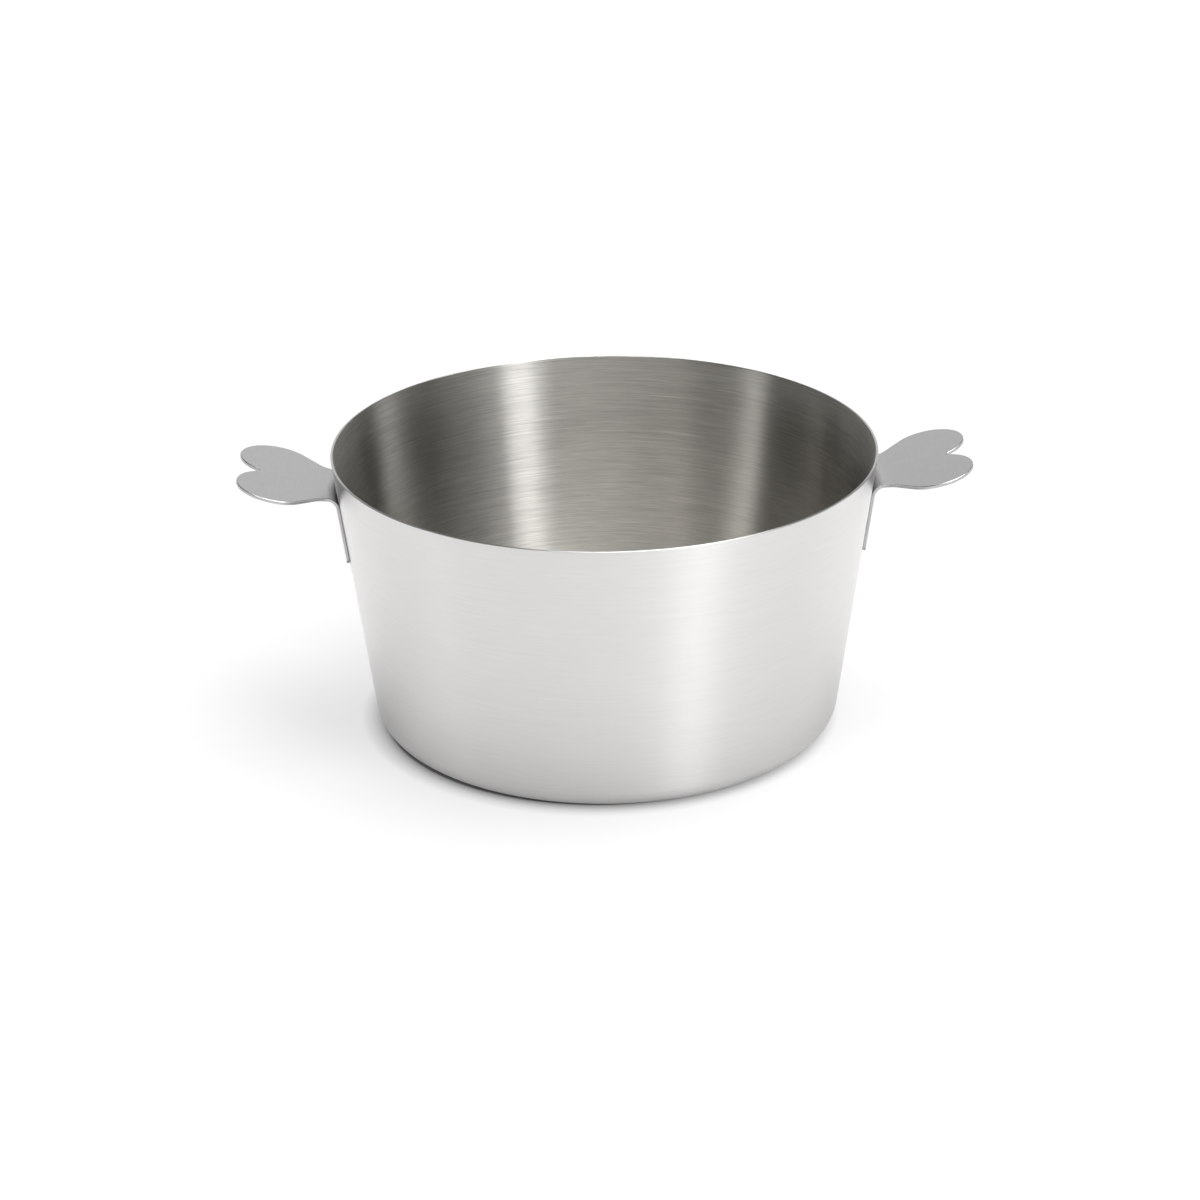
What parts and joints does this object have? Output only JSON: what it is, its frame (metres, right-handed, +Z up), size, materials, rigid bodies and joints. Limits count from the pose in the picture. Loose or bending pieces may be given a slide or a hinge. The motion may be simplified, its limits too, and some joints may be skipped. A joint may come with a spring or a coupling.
{
  "type": "charlotte mould",
  "caption": "Tapered round sheet steel baking mould with a flat base, a plain rim and a heart-shaped ear on each side.",
  "frame": {"origin": "centre of the flat base, on the surface that the mould stands on", "axes": "+Z up along the cup's axis, +X out through one ear, the other ear on -X"},
  "size_m": [0.241, 0.18, 0.095],
  "materials": {
    "body_steel": "satin stainless sheet with fine lines round the axis",
    "handle_steel": "satin stainless sheet with polished cut edges"
  },
  "bodies": {
    "root": {"mould_body": "body_steel", "handle_right": "handle_steel", "handle_left": "handle_steel"}
  },
  "joints": []
}
